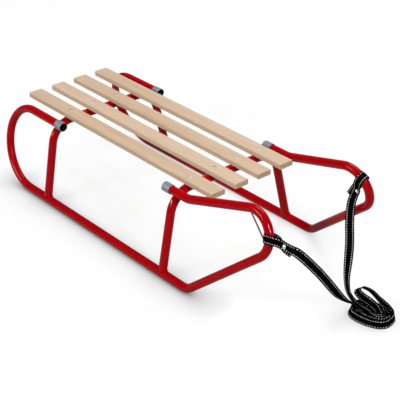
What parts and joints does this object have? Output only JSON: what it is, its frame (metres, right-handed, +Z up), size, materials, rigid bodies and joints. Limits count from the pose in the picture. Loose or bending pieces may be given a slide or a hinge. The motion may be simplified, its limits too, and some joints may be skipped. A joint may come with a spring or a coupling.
{
  "type": "metal tube sled with wooden slats",
  "caption": "Snow sled of bent steel tube with splayed runners, hoops under a slatted wooden seat, sleeved tube ends and a webbing pull strap looped round the noses.",
  "frame": {"origin": "on the floor under the middle of the frame, without the strap", "axes": "+X forward towards the noses, +Y to the rider's left, +Z up"},
  "size_m": [1.2108, 0.4426, 0.2922],
  "materials": {
    "frame": "glossy red paint",
    "slats": "pale satin varnish",
    "caps": "grey moulded",
    "strap": "black webbing with white stitching"
  },
  "bodies": {
    "root": {"runner_left": "frame", "runner_right": "frame", "front_hoop": "frame", "rear_hoop": "frame", "slat_1": "slats", "slat_2": "slats", "slat_3": "slats", "slat_4": "slats", "rear_cap_left": "caps", "rear_cap_right": "caps", "front_cap_left": "caps", "front_cap_right": "caps", "strap_loop_left": "strap", "strap_loop_right": "strap", "strap_left": "strap", "strap_right": "strap", "strap_hank": "strap"}
  },
  "joints": []
}
